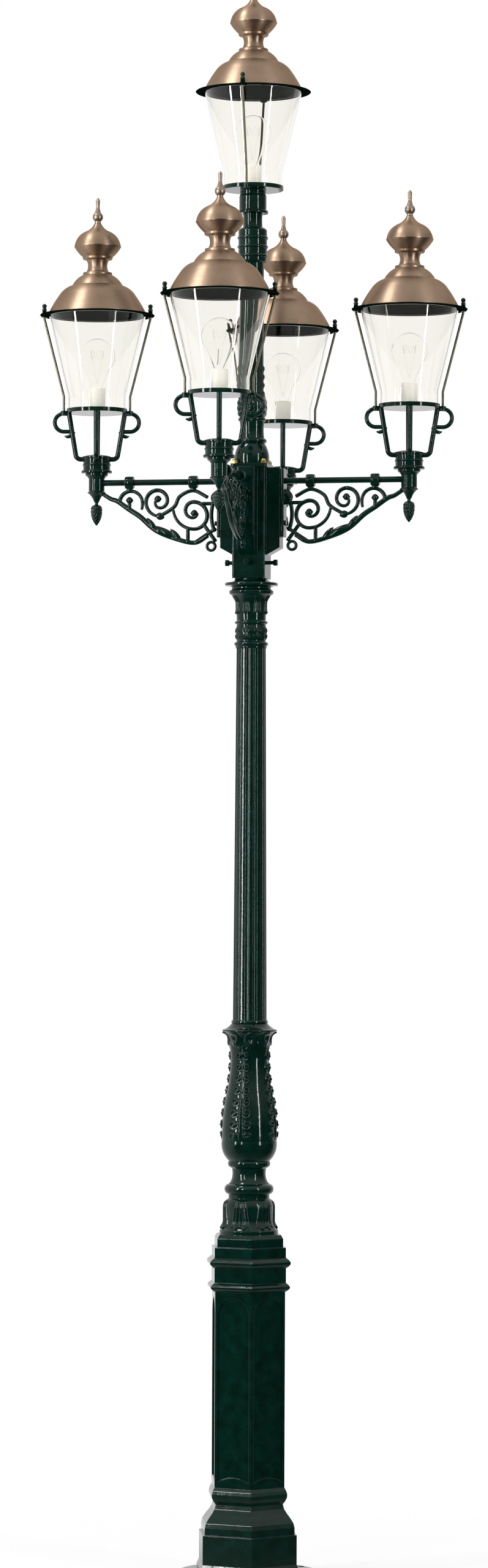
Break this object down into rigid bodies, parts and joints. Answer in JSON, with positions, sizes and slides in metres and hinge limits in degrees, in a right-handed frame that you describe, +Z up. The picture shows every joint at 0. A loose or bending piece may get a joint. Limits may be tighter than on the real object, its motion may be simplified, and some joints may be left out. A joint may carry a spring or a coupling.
{
  "type": "garden lamp post",
  "caption": "Garden lamp post: hexagonal pedestal, fluted shaft and scroll arms that carry conical glass lanterns under lift-off copper hoods.",
  "frame": {"origin": "middle of the foot flange's underside, on the post axis", "axes": "+Z up the post; the arms lie along +X (right), +Y (back), -X (left) and -Y (front)"},
  "size_m": [1.155, 1.155, 4.2335],
  "materials": {
    "green_paint": "gloss",
    "copper": "satin",
    "lantern_glass": "clear",
    "bulb_glass": "clear",
    "porcelain": "gloss",
    "steel": "satin",
    "brass": "satin",
    "grey_plastic": "matte"
  },
  "bodies": {
    "post": {"foot_flange": "green_paint", "base_pedestal": "green_paint", "base_collar": "green_paint", "vase": "green_paint", "fluted_shaft": "green_paint", "capital": "green_paint", "hub": "green_paint", "hub_cap": "green_paint", "riser": "green_paint", "riser_collar": "green_paint", "arm_tubes": "green_paint", "arm_sockets": "green_paint", "pine_cone_drops": "green_paint", "arm_bracket_right": "green_paint", "arm_bracket_back": "green_paint", "arm_bracket_left": "green_paint", "arm_bracket_front": "green_paint", "lantern_frame_top": "green_paint", "lantern_frame_right": "green_paint", "lantern_frame_back": "green_paint", "lantern_frame_left": "green_paint", "lantern_frame_front": "green_paint", "glass_top": "lantern_glass", "glass_right": "lantern_glass", "glass_back": "lantern_glass", "glass_left": "lantern_glass", "glass_front": "lantern_glass", "bulbs": "bulb_glass", "lamp_holders": "porcelain", "hub_bolts": "steel", "tie_rods": "steel", "cap_nuts": "brass", "terminal_box": "grey_plastic"},
    "hood_top": {"hood_top": "copper", "hood_ring_top": "green_paint", "finial_top": "copper"},
    "knob_top_a": {"knob_top_a": "green_paint"},
    "knob_top_b": {"knob_top_b": "green_paint"},
    "hood_right": {"hood_right": "copper", "hood_ring_right": "green_paint", "finial_right": "copper"},
    "knob_right_a": {"knob_right_a": "green_paint"},
    "knob_right_b": {"knob_right_b": "green_paint"},
    "hood_back": {"hood_back": "copper", "hood_ring_back": "green_paint", "finial_back": "copper"},
    "knob_back_a": {"knob_back_a": "green_paint"},
    "knob_back_b": {"knob_back_b": "green_paint"},
    "hood_left": {"hood_left": "copper", "hood_ring_left": "green_paint", "finial_left": "copper"},
    "knob_left_a": {"knob_left_a": "green_paint"},
    "knob_left_b": {"knob_left_b": "green_paint"},
    "hood_front": {"hood_front": "copper", "hood_ring_front": "green_paint", "finial_front": "copper"},
    "knob_front_a": {"knob_front_a": "green_paint"},
    "knob_front_b": {"knob_front_b": "green_paint"},
    "door": {"service_door": "green_paint"},
    "lock": {"door_lock": "steel"}
  },
  "joints": [
    {"name": "hood_lift_top", "type": "slide", "parent": "post", "child": "hood_top", "axis": [0, 0, 1], "range_m": [0, 0.15]},
    {"name": "hood_lift_right", "type": "slide", "parent": "post", "child": "hood_right", "axis": [0, 0, 1], "range_m": [0, 0.15]},
    {"name": "hood_lift_back", "type": "slide", "parent": "post", "child": "hood_back", "axis": [0, 0, 1], "range_m": [0, 0.15]},
    {"name": "hood_lift_left", "type": "slide", "parent": "post", "child": "hood_left", "axis": [0, 0, 1], "range_m": [0, 0.15]},
    {"name": "hood_lift_front", "type": "slide", "parent": "post", "child": "hood_front", "axis": [0, 0, 1], "range_m": [0, 0.15]},
    {"name": "knob_turn_top_a", "type": "hinge", "parent": "hood_top", "child": "knob_top_a", "pos_m": [0, 0.141, 3.9451], "axis": [0, 0, 1], "continuous": true},
    {"name": "knob_turn_top_b", "type": "hinge", "parent": "hood_top", "child": "knob_top_b", "pos_m": [0, -0.141, 3.9451], "axis": [0, 0, 1], "continuous": true},
    {"name": "knob_turn_right_a", "type": "hinge", "parent": "hood_right", "child": "knob_right_a", "pos_m": [0.55917, 0.02811, 3.3611], "axis": [0, 0, 1], "continuous": true},
    {"name": "knob_turn_right_b", "type": "hinge", "parent": "hood_right", "child": "knob_right_b", "pos_m": [0.28283, -0.02811, 3.3611], "axis": [0, 0, 1], "continuous": true},
    {"name": "knob_turn_back_a", "type": "hinge", "parent": "hood_back", "child": "knob_back_a", "pos_m": [0.13817, 0.44911, 3.3611], "axis": [0, 0, 1], "continuous": true},
    {"name": "knob_turn_back_b", "type": "hinge", "parent": "hood_back", "child": "knob_back_b", "pos_m": [-0.13817, 0.39289, 3.3611], "axis": [0, 0, 1], "continuous": true},
    {"name": "knob_turn_left_a", "type": "hinge", "parent": "hood_left", "child": "knob_left_a", "pos_m": [-0.28283, 0.02811, 3.3611], "axis": [0, 0, 1], "continuous": true},
    {"name": "knob_turn_left_b", "type": "hinge", "parent": "hood_left", "child": "knob_left_b", "pos_m": [-0.55917, -0.02811, 3.3611], "axis": [0, 0, 1], "continuous": true},
    {"name": "knob_turn_front_a", "type": "hinge", "parent": "hood_front", "child": "knob_front_a", "pos_m": [0.13817, -0.39289, 3.3611], "axis": [0, 0, 1], "continuous": true},
    {"name": "knob_turn_front_b", "type": "hinge", "parent": "hood_front", "child": "knob_front_b", "pos_m": [-0.13817, -0.44911, 3.3611], "axis": [0, 0, 1], "continuous": true},
    {"name": "door_swing", "type": "hinge", "parent": "post", "child": "door", "pos_m": [0.05792, 0.08017, 0.496], "axis": [0, 0, -1], "range_deg": [0, 105]},
    {"name": "lock_turn", "type": "hinge", "parent": "door", "child": "lock", "pos_m": [0.00091, 0.09047, 0.496], "axis": [-0.2419, -0.9703, 0], "range_deg": [0, 90]}
  ]
}
